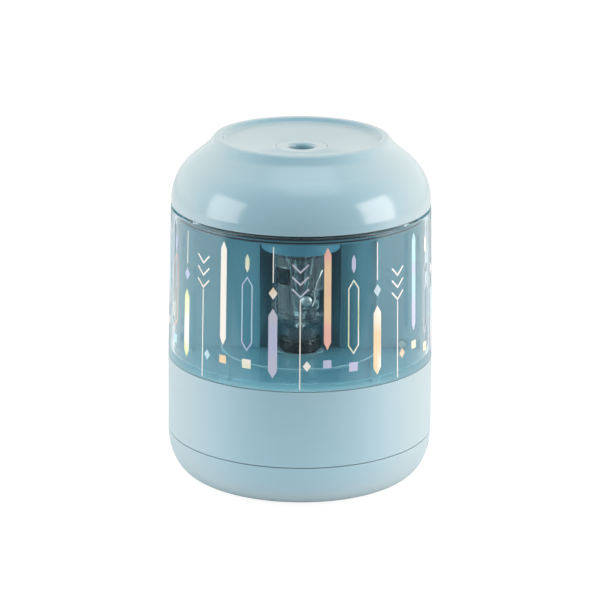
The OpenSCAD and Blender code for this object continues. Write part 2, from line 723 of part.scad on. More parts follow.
module cutter_carrier() {
    cone = [for (z = [cutter_low - 1, 73]) cutter_d(z) - cutter_r / cos(cutter_tilt) + 0.25];
    color([0.75, 0.88, 0.92, 0.6]) difference() {
        union() {
            difference() {
                rotate_extrude() polygon([[0, hub_top], [6.8, hub_top], [7, 51], [9.3, 53.6],
                    [carrier_r, carrier_top], [0, carrier_top]]);
                rotate_extrude() polygon([[0, 52.6], [7.4, 52.6], [8.1, 54.4], [8.7, 74.8], [0, 74.8]]);
            }
            // half cone that backs the pencil against the cutter
            rotate_extrude() polygon([[0, 52], [cone[0] + 1.6, 52], [cone[1] + 1.1, 73], [4.9, 75], [0, 75]]);
            cylinder_neck();
            // boss of the axle's retaining screw, in a raised ring
            translate([2, -7.2, 61]) rotate([90, 0, 0]) cylinder(r = 2.6, h = 2.9);
            translate([2, -7.6, 61]) rotate([90, 0, 0]) tube(3.7, 3.2, 2.3);
            // collar below the windows, upright ribs and a stop on the front
            translate([0, 0, 55]) tube(9.65, 8.6, 0.7);
            for (a = rib_at) rotate(a) translate([8.8, -0.3, 54.5]) cube([1.15, 0.6, 21]);
            for (x = [0.9, 3.1]) translate([x - 0.25, -9.9, 53.2]) cube([0.5, 2.4, 5]);
            // ribs between the half cone and the shell
            for (a = [200, 270, 340]) rotate(a) translate([3, -0.6, 51.8]) cube([6.1, 1.2, 23.4]);
        }
        // the pencil's space
        rotate_extrude() polygon([[0, cutter_low - 1], [cone[0], cutter_low - 1], [cone[1], 73],
            [neck_r - 0.8, 74], [neck_r - 0.8, 100], [0, 100]]);
        translate([0, 0, hub_top - 1]) cylinder(r = spindle_r, h = 4);
        translate([-tongue / 2 - 0.05, -tongue / 2 - 0.05, hub_top - 1])
            cube([tongue + 0.1, tongue + 0.1, tongue_h + 1.1]);
        on_cutter_axis() {
            translate([0, 0, -27]) cylinder(r = cutter_r + 0.3, h = 23.2);
            translate([0, 0, -29.5]) cylinder(r = axle_r, h = 20);
            translate([0, 0, -6]) cylinder(r = sleeve_r + 0.06, h = 8);
            translate([0, -cutter_r, -25.6]) cube([12, 2 * cutter_r, 21.6]);
        }
        // windows that let the shavings out
        for (a = [190, 325]) rotate(a) translate([6, -3.2, 56]) cube([8, 6.4, 8]);
        rotate(230) translate([6, -2.6, 66]) cube([8, 5.2, 5.5]);
        translate([2, -3, 61]) rotate([90, 0, 0]) cylinder(r = 0.9, h = 9, $fn = 32);
    }
}

module cylinder_neck() {
    translate([0, 0, carrier_top - 1]) cylinder(r = neck_r, h = neck_top - carrier_top + 1);
}

module cutter_axle() {
    color("silver") on_cutter_axis() translate([0, 0, -29.4]) cylinder(r = axle_r, h = 32);
}

module carrier_screw() {
    color("silver") translate([2, -11.1, 61]) rotate([-90, 0, 0]) screw_up(1.9, 1, 0.9, 6);
}

module retaining_spring() {
    y = -carrier_r - 0.6;
    color("silver") wire([[3.9, y, 59.6], [4.9, y + 0.3, 62], [4.6, y + 0.25, 64.5], [5.2, y + 0.1, 67],
        [6.2, y + 0.4, 69.5], [7, y + 1.2, 71.5]], 0.3, up = [0, 1, 0]);
}

// Hooked helical teeth round a bored core
module helical_cutter() {
    depth = 0.55;
    turn = 360 / cutter_teeth;
    outline = [for (t = [0:cutter_teeth - 1]) each [
        [cutter_r, t * turn], [cutter_r - 0.06, t * turn + turn * 0.22],
        [cutter_r - depth, t * turn + turn * 0.62], [cutter_r - depth, t * turn + turn * 0.9]]];
    color("#aeb2b6") on_cutter_axis() translate([0, 0, -25.3]) difference() {
        linear_extrude(height = 21, twist = -110, slices = 26, convexity = 6)
            polygon([for (p = outline) [p[0] * cos(p[1]), p[0] * sin(p[1])]]);
        translate([0, 0, -1]) cylinder(r = axle_r + 0.06, h = 24);
    }
}

module cutter_pinion() {
    color("#c8a85a") on_cutter_axis() {
        translate([0, 0, -1]) spur_gear(pinion_teeth, 2.2, axle_r + 0.06, 18);
        translate([0, 0, -4.25]) tube(sleeve_r, axle_r + 0.06, 3.25);
    }
}

// ---- Drawer ------------------------------------------------------------------------------------

module shavings_drawer() {
    z0 = drawer_bottom;
    floor_top = z0 + drawer_floor_t;
    color([0.45, 0.68, 0.75, 0.5]) difference() {
        column_solid(0, z0, drawer_top);
        difference() {
            column_solid(drawer_wall, floor_top, drawer_top + 1);
            // low rib that keeps the shavings off the wall
            translate([0, 0, floor_top - 1]) tube(26.4, 25.8, 1.4);
        }
        translate([-60, -drawer_gap, 0]) cube([120, 120, 200]);
        translate([0, 0, z0 - 1]) cylinder(r = drawer_notch_r, h = 4);
        for (x = [-rail_x, rail_x]) translate([x - 1.15, -32.2, z0 - 1]) cube([2.3, 40, 1.85]);
    }
}

module drawer_magnet() {
    color("#888d92") translate([34, -drawer_gap - 0.2, 43.9]) rotate([90, 0, 0]) cylinder(r = 1.2, h = 1.5);
}

bottom_cover();
rubber_feet();
cover_screws();
base_housing();
battery_door();
battery_box();
battery_cells();
battery_contacts();
deck_bush();
gear_axle();
compound_gear();
motor_can();
motor_end_cap();
motor_shaft();
motor_pinion();
motor_clamp();
inner_panel();
rear_cover();
column_screws();
top_plate();
dust_seal();
ring_gear_collar();
neck_bush();
cap();
cap_screws();
pencil_guide();
start_lever();
lever_pin();
lever_spring();
start_switch();
control_board();
drive_spindle();
spindle_clip();
output_gear();
carrier_hub();
cutter_carrier();
cutter_axle();
carrier_screw();
retaining_spring();
helical_cutter();
cutter_pinion();
shavings_drawer();
drawer_magnet();
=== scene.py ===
# %% [markdown]
# # An upright desktop pencil sharpener
# The object is a can of moulded plastic 88 mm wide: a satin base, a tinted clear drawer with a printed
# front, a satin column behind it, and a glossy domed cap with the pencil hole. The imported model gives
# every piece's place and size, so the first cell loads it, and each later cell dresses one piece.

# %% Load the frame
import json
import math

import bmesh
import bpy
import numpy as np
from mathutils import Matrix, Vector


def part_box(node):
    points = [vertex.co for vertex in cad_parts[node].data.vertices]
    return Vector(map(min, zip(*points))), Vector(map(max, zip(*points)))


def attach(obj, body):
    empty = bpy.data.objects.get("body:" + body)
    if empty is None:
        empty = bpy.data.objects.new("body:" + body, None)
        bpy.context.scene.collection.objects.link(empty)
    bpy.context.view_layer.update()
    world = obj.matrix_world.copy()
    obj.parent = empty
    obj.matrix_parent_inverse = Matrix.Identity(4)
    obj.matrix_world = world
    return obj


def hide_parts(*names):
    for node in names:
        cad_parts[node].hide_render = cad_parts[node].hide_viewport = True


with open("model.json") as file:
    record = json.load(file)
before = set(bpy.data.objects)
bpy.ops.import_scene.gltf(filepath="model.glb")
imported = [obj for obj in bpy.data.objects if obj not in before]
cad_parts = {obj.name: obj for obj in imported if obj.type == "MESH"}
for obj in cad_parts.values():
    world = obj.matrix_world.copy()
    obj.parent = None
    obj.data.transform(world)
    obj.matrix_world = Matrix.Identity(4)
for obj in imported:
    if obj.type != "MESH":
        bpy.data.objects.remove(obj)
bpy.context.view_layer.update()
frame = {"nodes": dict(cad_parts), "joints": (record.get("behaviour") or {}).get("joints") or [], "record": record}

MM = 0.001


def span(node):
    """Lowest and highest corner of a CAD node, in millimetres."""
    low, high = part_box(node)
    return np.array(low) / MM, np.array(high) / MM


# %% [markdown]
# ## Meshes from formulas
# Nearly every visible piece is turned: an outline carried round the upright axis. An outline is a short
# list of corners, and each corner takes its own radius, because it is the small radii at seams and lips
# that catch the light on a moulded part.

# %% Outlines with rounded corners
def rounded(corners, steps=6):
    """A closed outline from [(r, z, radius), ...] in mm, each corner replaced by an arc.

    With h half the corner's angle, the arc starts radius / tan(h) before the corner, its centre is
    radius / sin(h) along the bisector, and its points turn evenly from the first side to the second.
    """
    data = np.array(corners, float)
    points, radius = data[:, :2], data[:, 2]
    back, ahead = np.roll(points, 1, 0) - points, np.roll(points, -1, 0) - points
    room = np.minimum(np.linalg.norm(back, axis=1), np.linalg.norm(ahead, axis=1))
    u = back / np.linalg.norm(back, axis=1)[:, None]
    v = ahead / np.linalg.norm(ahead, axis=1)[:, None]
    half = np.arccos(np.clip((u * v).sum(1), -0.99999, 0.99999)) / 2
    trim = np.minimum(radius / np.tan(half), 0.499 * room)
    radius = trim * np.tan(half)
    bisector = (u + v) / np.linalg.norm(u + v, axis=1)[:, None]
    centre = points + bisector * (radius / np.sin(half))[:, None]
    turn = math.pi - 2 * half
    s = np.linspace(0, 1, steps + 1)[None, :]
    w0 = np.sin((1 - s) * turn[:, None]) / np.sin(turn)[:, None]
    w1 = np.sin(s * turn[:, None]) / np.sin(turn)[:, None]
    first, last = points + u * trim[:, None] - centre, points + v * trim[:, None] - centre
    arcs = centre[:, None] + w0[..., None] * first[:, None] + w1[..., None] * last[:, None]
    outline = arcs.reshape(-1, 2)
    keep = np.linalg.norm(outline - np.roll(outline, 1, 0), axis=1) > 1e-4
    return outline[keep]


def ellipse(centre, radii, start, end, count):
    """Points centre + (a cos t, b sin t) for t from start to end, in degrees."""
    t = np.radians(np.linspace(start, end, count))
    return np.stack([centre[0] + radii[0] * np.cos(t), centre[1] + radii[1] * np.sin(t)], 1)


# %% Grids into quads
def grid_faces(rows, columns, wrap_rows, wrap_columns):
    """Quads between neighbouring points of a rows by columns grid, numbered row by row."""
    i = np.arange(rows if wrap_rows else rows - 1)[:, None]
    j = np.arange(columns if wrap_columns else columns - 1)[None, :]
    i2, j2 = (i + 1) % rows, (j + 1) % columns
    quads = [i * columns + j, i2 * columns + j, i2 * columns + j2, i * columns + j2]
    return np.stack(np.broadcast_arrays(*quads), -1).reshape(-1, 4)


# %% A mesh object from points and faces
SHARP, SHARP_CAD = 32, 30


def sharpen(mesh, degrees=SHARP):
    """Smooth shading, broken at edges that turn by more than some degrees."""
    mesh.shade_smooth()
    mesh.set_sharp_from_angle(angle=math.radians(degrees))


def solid(name, points, faces, sharp=SHARP):
    """A mesh object from points in mm: doubles merged, faces turned outwards, flat where it is sharp."""
    mesh = bpy.data.meshes.new(name)
    mesh.from_pydata((np.asarray(points) * MM).tolist(), [], [list(map(int, f)) for f in faces])
    work = bmesh.new()
    work.from_mesh(mesh)
    bmesh.ops.remove_doubles(work, verts=work.verts, dist=1e-7)
    bmesh.ops.recalc_face_normals(work, faces=work.faces)
    work.to_mesh(mesh)
    work.free()
    sharpen(mesh, sharp)
    piece = bpy.data.objects.new(name, mesh)
    bpy.context.scene.collection.objects.link(piece)
    return piece


# %% Turned solids
ROUND = 288


def lathe(outline, angles=(0, 360), count=ROUND, offset=(0, 0)):
    """Points and faces of a turned solid: (r, z) at angle t goes to (r cos t, r sin t, z) + offset.

    A part turn gets the outline itself as a face at each end.
    """
    whole = abs(angles[1] - angles[0]) >= 360
    t = np.radians(np.linspace(*angles, count, endpoint=not whole))[:, None]
    r, z = outline[:, 0][None], outline[:, 1][None]
    points = np.stack(
        [r * np.cos(t) + offset[0], r * np.sin(t) + offset[1], z + 0 * t], -1).reshape(-1, 3)
    size = len(outline)
    faces = grid_faces(count, size, whole, True).tolist()
    if not whole:
        faces += [list(range(size)), list(range((count - 1) * size, count * size))]
    return points, faces


# %% A piece's body, finish and normals
def settle(piece, body, material):
    """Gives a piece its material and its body.

    Normals are weighted by face area, or a long quad beside a small lip would shade as if it were bent.
    """
    piece.data.materials.clear()
    piece.data.materials.append(material)
    even = piece.modifiers.new("even", "WEIGHTED_NORMAL")
    even.keep_sharp, even.weight = True, 50
    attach(piece, body)
    print(f"{piece.name}: {len(piece.data.polygons)} faces on {body}")


# %% [markdown]
# ## Shared surface effects
# Moulded plastic is never perfectly even: the tool leaves a fine texture, and both the gloss and the
# colour drift slowly from place to place. Those three live in one node group, so each plastic only
# states how much of each it has.

# %% Node helpers
def new_group(name, inputs, outputs):
    """An empty shader group with float or colour sockets: {"name": default} and {"name": kind}."""
    group = bpy.data.node_groups.new(name, "ShaderNodeTree")
    for label, default in inputs.items():
        kind = "NodeSocketColor" if hasattr(default, "__len__") else "NodeSocketFloat"
        socket = group.interface.new_socket(name=label, in_out="INPUT", socket_type=kind)
        socket.default_value = default
    for label, kind in outputs.items():
        group.interface.new_socket(name=label, in_out="OUTPUT", socket_type=kind)
    return group, group.nodes.new("NodeGroupInput"), group.nodes.new("NodeGroupOutput")


def add(tree, kind, settings=None, **inputs):
    """A node of that kind with its settings and its inputs, each a value or a link.

    An input is called i0, i1 and so on by its number, or by its label with _ for each space.
    """
    node = tree.nodes.new(kind)
    for key, value in (settings or {}).items():
        setattr(node, key, value)
    for label, value in inputs.items():
        numbered = label[0] == "i" and label[1:].isdigit()
        socket = node.inputs[int(label[1:]) if numbered else label.replace("_", " ")]
        if isinstance(value, bpy.types.NodeSocket):
            tree.links.new(value, socket)
        else:
            socket.default_value = value
    return node


def maths(tree, operation, a, b=0.0, clamp=False):
    """One Math node's output."""
    return add(tree, "ShaderNodeMath", {"operation": operation, "use_clamp": clamp}, i0=a, i1=b).outputs[0]


def ramp(tree, value, start, end, low=0.0, high=1.0):
    """low before start and high after end, with the S-curve 3 t^2 - 2 t^3 from one to the other."""
    return add(tree, "ShaderNodeMapRange", {"interpolation_type": "SMOOTHSTEP"}, Value=value,
               From_Min=start, From_Max=end, To_Min=low, To_Max=high).outputs[0]


def mixed(tree, share, first, second):
    """The colour (1 - share) first + share second."""
    return add(tree, "ShaderNodeMix", {"data_type": "RGBA"}, i0=share, i6=first, i7=second).outputs[2]


def place_in(tree):
    """The Object coordinate, which for a piece at the origin is its place in metres."""
    return add(tree, "ShaderNodeTexCoord").outputs["Object"]


# %% Moulded skin
def moulded_skin():
    """Group: colour drift, gloss drift and fine tool texture of a moulded plastic, in object space.

    Two noises, one slow and one fine, give colour * (1 + drift (slow - 1/2)), roughness + drift
    (fine - 1/2), and a height that is share * fine + (1 - share) * slow.
    """
    group, given, out = new_group(
        "moulded_skin",
        {"Colour": (1, 1, 1, 1), "Drift": 0.03, "Roughness": 0.4, "Gloss drift": 0.05,
         "Grain per metre": 2500.0, "Wave per metre": 60.0, "Grain share": 0.5},
        {"Colour": "NodeSocketColor", "Roughness": "NodeSocketFloat", "Height": "NodeSocketFloat"})
    place = place_in(group)
    slow = add(group, "ShaderNodeTexNoise", {"noise_dimensions": "3D"}, Vector=place,
               Scale=given.outputs["Wave per metre"], Detail=2.0).outputs["Fac"]
    fine = add(group, "ShaderNodeTexNoise", {"noise_dimensions": "3D"}, Vector=place,
               Scale=given.outputs["Grain per metre"], Detail=3.0).outputs["Fac"]
    centred = maths(group, "SUBTRACT", slow, 0.5)
    value = maths(group, "ADD", 1.0, maths(group, "MULTIPLY", centred, given.outputs["Drift"]))
    tone = add(group, "ShaderNodeHueSaturation", Value=value, Color=given.outputs["Colour"])
    rough = maths(group, "ADD", given.outputs["Roughness"],
                  maths(group, "MULTIPLY", maths(group, "SUBTRACT", fine, 0.5),
                        given.outputs["Gloss drift"]), clamp=True)
    share = given.outputs["Grain share"]
    height = maths(group, "ADD", maths(group, "MULTIPLY", fine, share),
                   maths(group, "MULTIPLY", slow, maths(group, "SUBTRACT", 1.0, share)))
    group.links.new(tone.outputs[0], out.inputs["Colour"])
    group.links.new(rough, out.inputs["Roughness"])
    group.links.new(height, out.inputs["Height"])
    return group


SKIN = moulded_skin()
print("moulded_skin:", len(SKIN.nodes), "nodes")

# %% [markdown]
# ## The finishes
# The shell is one pale blue plastic in two glosses, and everything else is a plain engineering plastic
# or metal, so one function makes them all from a colour, a roughness and the skin's values. The body's
# blue carries a painted sheen: where it is seen at a slant, a pale grey is painted into its colour.

# %% Colours and empty materials
def srgb(*rgb):
    """An sRGB colour of 0 to 255 as linear light, by the usual power curve with its straight toe."""
    c = np.array(rgb, float) / 255
    linear = np.where(c <= 0.04045, c / 12.92, ((c + 0.055) / 1.055) ** 2.4)
    return (*linear.tolist(), 1.0)


FINISHES = {}


def blank(name):
    """A material with an empty tree and its output node, noted in FINISHES under its name.

    The loaded frame has plain materials of the same names, so Blender's own list can't be asked.
    """
    material = bpy.data.materials.new(name)
    material.use_nodes = True
    material.node_tree.nodes.clear()
    FINISHES[name] = material
    return material, material.node_tree, material.node_tree.nodes.new("ShaderNodeOutputMaterial")


# %% Plastic and metal
PAINTED_SHEEN_GREY = (0.62, 0.58, 0.50, 1.0)


def plastic(name, colour, roughness, drift=0.04, gloss_drift=0.06, grain=2500.0, wave=60.0,
            grain_share=0.5, bump=0.05, bump_mm=0.02, coat=0.0, shine=0.5, metallic=0.0, painted_sheen=0.0):
    """A Principled plastic or metal whose colour, roughness and bump come from the skin group.

    With a painted sheen, that share of pale grey is painted into the colour where it is seen at a slant.
    """
    material, tree, out = blank(name)
    # Painted sheen: pale grey mixed into the colour towards the flanks, by Layer Weight.
    if painted_sheen:
        facing = add(tree, "ShaderNodeLayerWeight", Blend=0.5).outputs["Facing"]
        colour = mixed(tree, ramp(tree, facing, 0.05, 0.6, high=painted_sheen), colour, PAINTED_SHEEN_GREY)
    skin = add(tree, "ShaderNodeGroup", {"node_tree": SKIN}, Colour=colour, Drift=drift,
               Roughness=roughness, Gloss_drift=gloss_drift, Grain_per_metre=grain,
               Wave_per_metre=wave, Grain_share=grain_share)
    relief = add(tree, "ShaderNodeBump", Strength=bump, Distance=bump_mm * MM,
                 Height=skin.outputs["Height"])
    shader = add(tree, "ShaderNodeBsdfPrincipled", Base_Color=skin.outputs["Colour"],
                 Roughness=skin.outputs["Roughness"], Normal=relief.outputs[0],
                 Coat_Weight=coat, Coat_Roughness=0.08, Specular_IOR_Level=shine, Metallic=metallic)
    tree.links.new(shader.outputs[0], out.inputs["Surface"])
    return material


# %% Blue plastics of the shell
# Both shell blues carry a painted sheen, a pale grey in their colour where seen at a slant.
gloss_blue = plastic("gloss_blue", srgb(152, 193, 210), 0.17, grain=1400, wave=35, grain_share=0.12,
                     bump=0.12, gloss_drift=0.05, shine=0.62, painted_sheen=0.3)
satin_blue = plastic("satin_blue", srgb(152, 193, 211), 0.42, grain=5200, grain_share=0.85, bump=0.25,
                     bump_mm=0.012, shine=0.85, painted_sheen=0.3)
panel_blue = plastic("panel_blue", srgb(152, 198, 212), 0.36, grain=4200, bump=0.2)
plate_blue = plastic("plate_blue", srgb(156, 200, 214), 0.4, grain=4200, bump=0.2)
# The collar's darker teal is painted shade on the shell's pale blue plastic.
collar_teal = plastic("collar_teal", srgb(112, 168, 188), 0.30, grain=3000)
print("shell:", list(FINISHES))

# %% Plastics, rubber and metals of the inner parts
plastic("bush_plastic", srgb(196, 220, 226), 0.30)
plastic("white_plastic", srgb(233, 234, 229), 0.45, grain=3800, bump=0.15)
black_plastic = plastic("black_plastic", srgb(20, 28, 36), 0.3, drift=0.15, grain=4200, bump=0.2)
plastic("rubber_grey", srgb(52, 54, 58), 0.82, drift=0.2, grain=6000, bump=0.4)
seal_rubber = plastic("seal_rubber", srgb(104, 146, 162), 0.7, drift=0.1, grain=6000, bump=0.3)
plastic("cell_jacket", srgb(96, 126, 140), 0.28, drift=0.05, coat=0.4)
plastic("board_green", srgb(44, 98, 70), 0.35, drift=0.2, coat=0.5)
zinc_steel = plastic("zinc_steel", srgb(196, 198, 200), 0.34, drift=0.08, grain=3000, wave=200,
                     metallic=1.0, gloss_drift=0.18)
plastic("nickel_steel", srgb(212, 211, 208), 0.2, drift=0.06, metallic=1.0, gloss_drift=0.12)
plastic("tool_steel", srgb(150, 153, 158), 0.26, drift=0.18, grain=2600, metallic=1.0,
        gloss_drift=0.2, bump=0.2)
plastic("brass", srgb(214, 178, 106), 0.27, drift=0.1, metallic=1.0, gloss_drift=0.14)
print(len(FINISHES), "opaque finishes so far")

# %% [markdown]
# ## Clear plastic
# The drawer is clear plastic with a teal tint, and the cutter carrier is clear with a greyer one. A thin
# curved wall that bends light fully goes dark where it turns away, so the drawer's body bends it little,
# and a coat over it gives the full reflection. Lamps and soft light pass through both, tinted.

# %% Clear plastic
def clear(name, tint, roughness, ior=1.14, bump=0.02, rim=0.55, pale_below=0.0):
    """Clear plastic: a Principled glass under a coat, mixed with a tinted see-through.

    Shadow rays and diffuse rays go straight through. So does the share rim * smooth((facing - 0.62) /
    0.33) of the others, as a moulded edge stays pale where it is seen edge-on. From pale_below down,
    in mm, the tint fades to near clear, because a floor is looked through twice.
    """
    material, tree, out = blank(name)
    height = add(tree, "ShaderNodeSeparateXYZ", Vector=place_in(tree)).outputs["Z"]
    pale = add(tree, "ShaderNodeMapRange", Value=height, From_Min=(pale_below - 0.6) * MM,
               From_Max=pale_below * MM, To_Min=0.85, To_Max=0.0).outputs[0]
    tone = mixed(tree, pale, tint, (0.95, 0.98, 0.98, 1))
    skin = add(tree, "ShaderNodeGroup", {"node_tree": SKIN}, Colour=tone, Drift=0.02,
               Roughness=roughness, Gloss_drift=0.02, Grain_per_metre=900.0, Wave_per_metre=45.0,
               Grain_share=0.05)
    relief = add(tree, "ShaderNodeBump", Strength=bump, Distance=0.2 * MM, Height=skin.outputs["Height"])
    glass = add(tree, "ShaderNodeBsdfPrincipled", Base_Color=skin.outputs["Colour"],
                Roughness=skin.outputs["Roughness"], Normal=relief.outputs[0],
                Transmission_Weight=1.0, IOR=ior, Coat_Weight=1.0, Coat_IOR=1.5,
                Coat_Roughness=roughness)
    through = add(tree, "ShaderNodeBsdfTransparent", Color=tone)
    rays = add(tree, "ShaderNodeLightPath")
    lit = maths(tree, "MAXIMUM", rays.outputs["Is Shadow Ray"], rays.outputs["Is Diffuse Ray"])
    facing = add(tree, "ShaderNodeLayerWeight", Blend=0.5).outputs["Facing"]
    share = maths(tree, "MAXIMUM", lit, ramp(tree, facing, 0.62, 0.95, high=rim))
    mix = add(tree, "ShaderNodeMixShader", Fac=share, i1=glass.outputs[0], i2=through.outputs[0])
    tree.links.new(mix.outputs[0], out.inputs["Surface"])
    return material


frosted_teal = plastic("frosted_teal", srgb(166, 210, 224), 0.5, grain=6000, bump=0.3)
# The rib round the drawer's floor is a real rib, painted pale as a painted highlight.
rib_painted_highlight = plastic("rib_painted_highlight", srgb(214, 240, 246), 0.4, grain=6000)
tinted_clear = clear("tinted_clear", (0.75, 0.89, 0.92, 1.0), 0.015, pale_below=42.8)
clear_plastic = clear("clear_plastic", (0.74, 0.83, 0.86, 1.0), 0.03, ior=1.45, bump=0.12, rim=0.0)
print("drawer and carrier:", list(FINISHES)[-4:])

# %% [markdown]
# ## Dress the CAD nodes
# Pieces that are right as they come keep their meshes: gears, screws, shafts, springs and cells. Each
# takes the finish that has the name of its slot in the record.

# %% Materials onto the CAD nodes
for part in frame["record"]["subparts"]:
    shape = frame["nodes"][part["node"]]
    shape.data.materials.clear()
    shape.data.materials.append(FINISHES[part["material_slot"]])
    sharpen(shape.data, SHARP_CAD)
print(len(frame["nodes"]), "nodes dressed")

# %% [markdown]
# ## The cap
# A bowl turned upside down, with a rolled rim round a shallow dish. The dome is part of an ellipse,
# which flattens towards the top as the real one does. Everything is one closed outline, outside and
# inside, so the wall has its real thickness where the dish meets the pencil guide.

# %% The cap's outline and mesh
WALL = 2.2
FLANGE, NECK_R, NECK_HOLE_R = 1.4, 6.3, 6.5
cap_low, cap_high = span("cap")
cap_r, seam_top, crest_z = cap_high[0], cap_low[2], cap_high[2]
guide_low, guide_high = span("pencil_guide")
flange_r, dish_z = guide_high[0], guide_high[2]
dome_centre, dome_size = (23.0, seam_top + 1.7), (cap_r - 23.0, 18.1)
dish_rim = (25.3, crest_z - 1.55)


def cap_outline():
    """Outer dome, flank, crest and dish, then back along the inside of the wall, all in mm."""
    hole = flange_r + 0.06
    dome = ellipse(dome_centre, dome_size, 3, 52, 44)
    top = rounded([
        (*dome[-1], 0), (30.5, crest_z - 3.1, 5), (28.5, crest_z, 1.7), (26.2, crest_z, 0.75),
        (*dish_rim, 1.0), (hole, dish_z, 0.07), (hole, dish_z - FLANGE, 0), (NECK_HOLE_R, dish_z - FLANGE, 0),
        (NECK_HOLE_R, dish_z - 2.3, 0), (hole + 1.5, dish_z - 2.3, 0),
        (dish_rim[0], dish_rim[1] - 2.6, 0)], steps=8)
    inside = ellipse(dome_centre, (dome_size[0] - WALL, dome_size[1] - WALL), 66, 3, 24)
    rim = ellipse((cap_r - 0.7, seam_top + 0.7), (0.7, 0.7), -90, 0, 8)
    return np.vstack([rim, dome[:-1], top, inside, [[cap_r - WALL, seam_top]]])


cap_shape = solid("cap_shape", *lathe(cap_outline()))
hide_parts("cap")
settle(cap_shape, "housing", gloss_blue)

# %% The pencil guide
guide_r, guide_lip = 4.1, 1.2
guide_shape = solid("pencil_guide_shape", *lathe(rounded([
    (flange_r, dish_z, 0.07), (flange_r, dish_z - FLANGE, 0), (NECK_R, dish_z - FLANGE, 0),
    (NECK_R, guide_low[2], 0.2), (guide_r, guide_low[2], 0.3), (guide_r, dish_z, guide_lip)]), count=160))
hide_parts("pencil_guide")
settle(guide_shape, "housing", gloss_blue)

# %% [markdown]
# ## The base
# Two moulded shells meet at a fine seam near the bottom. The lower one is a bowl with a generous round
# edge, the upper a plain ring with the deck that closes it. Both lips are eased a little,
# so the seam reads as a fine dark line with a soft shoulder on each side. Bosses, rails and holes are
# simple solids, so exact booleans add and cut them after the turning.

# %% Cutters and bosses
def carve(piece, cutters, operation="DIFFERENCE"):
    """Cuts solids out of a piece, or adds them, with exact booleans, and removes the cutters."""
    for cutter in cutters:
        cut = piece.modifiers.new("cut", "BOOLEAN")
        cut.object, cut.operation, cut.solver = cutter, operation, "EXACT"
    graph = bpy.context.evaluated_depsgraph_get()
    baked = bpy.data.meshes.new_from_object(piece.evaluated_get(graph))
    piece.modifiers.clear()
    piece.data = baked
    for cutter in cutters:
        bpy.data.objects.remove(cutter)


def block(low, high):
    """An axis-aligned box between two corners in mm."""
    low, high = np.array(low, float), np.array(high, float)
    corners = np.array([[x, y, z] for x in (0, 1) for y in (0, 1) for z in (0, 1)])
    faces = [[0, 1, 3, 2], [4, 6, 7, 5], [0, 4, 5, 1], [2, 3, 7, 6], [0, 2, 6, 4], [1, 5, 7, 3]]
    return solid("cutter", low + corners * (high - low), faces)


def bar(x, y, radius, low, high, count=64):
    """An upright round bar at (x, y) from height low to high, in mm."""
    outline = np.array([[0, low], [radius, low], [radius, high], [0, high]], float)
    return solid("cutter", *lathe(outline, count=count, offset=(x, y)))


def on_circle(radius, *degrees):
    """Points (x, y) at those angles on a circle round the upright axis."""
    return [(radius * math.cos(math.radians(a)), radius * math.sin(math.radians(a))) for a in degrees]


# %% Base ring and deck
ring_low, ring_high = span("base_housing")
body_r, ring_z = ring_high[0], ring_low[2]
deck_z, DECK = 40.6, 2.0
LIP = 0.16
BOSS_R, SCREW_R = 3.4, 1.6
SCREWS = on_circle(35.5, 20, 160, 200, 340)
RAIL_X, RAIL_HALF, GROOVE_HALF = 24.0, 0.8, 1.15
POST_X, POST_Y, POST_RIB = 27.0, 20.0, 36.8
SIDES = (-1, 1)
motor_y = span("motor_shaft")[0][1] + 1.0
ring_shape = solid("base_ring_shape", *lathe(rounded([
    (body_r, ring_z, LIP), (body_r - 0.1, deck_z, LIP), (4.6, deck_z, 0), (4.6, deck_z - DECK, 0),
    (body_r - WALL, deck_z - DECK, 1.0), (body_r - WALL, ring_z, 0.1)])))
bosses = [bar(x, y, BOSS_R, ring_z + 0.35, deck_z - 1) for x, y in SCREWS]
rails = [block((s * RAIL_X - RAIL_HALF, -31.5, deck_z - 0.5),
               (s * RAIL_X + RAIL_HALF, -3, deck_z + 0.7)) for s in SIDES]
carve(ring_shape, bosses + rails, "UNION")
screw_holes = [bar(x, y, 1.5, 0, deck_z - 4) for x, y in SCREWS]
post_holes = [bar(s * POST_X, POST_Y, SCREW_R, deck_z - 5, deck_z + 5) for s in SIDES]
motor_hole = bar(0, motor_y, 4, deck_z - 5, deck_z + 5)
carve(ring_shape, screw_holes + post_holes + [motor_hole])
sharpen(ring_shape.data)
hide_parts("base_housing")
settle(ring_shape, "housing", satin_blue)

# %% The bottom cover's bowl
cover_z = span("bottom_cover")[0][2]
cover_top = ring_z - 0.25
EDGE = (8.3, 14.0)


def cover_outline():
    """Flat bottom, round edge, short upright wall, and the same again a wall's thickness inside."""
    centre = (body_r - EDGE[0], cover_z + EDGE[1])
    out_arc = ellipse(centre, EDGE, -90, 0, 40)
    in_arc = ellipse(centre, (EDGE[0] - WALL, EDGE[1] - WALL), 0, -90, 24)
    lip = ellipse((body_r - LIP, cover_top - LIP), (LIP, LIP), 0, 90, 6)
    return np.vstack([[[0, cover_z]], out_arc, lip, [[body_r - WALL, cover_top]], in_arc,
                      [[0, cover_z + WALL]]])


cover_shape = solid("bottom_cover_shape", *lathe(cover_outline()))
lip_out, lip_in = body_r - WALL - 0.1, body_r - WALL - 1.3
spigot = solid("cutter", *lathe(np.array([
    [lip_out, cover_top - 2], [lip_out, cover_top + 2], [lip_in, cover_top + 2], [lip_in, cover_top - 2]])))
bosses = [bar(x, y, BOSS_R, cover_z + 1.7, cover_z + 14.4) for x, y in SCREWS]
carve(cover_shape, [spigot] + bosses, "UNION")

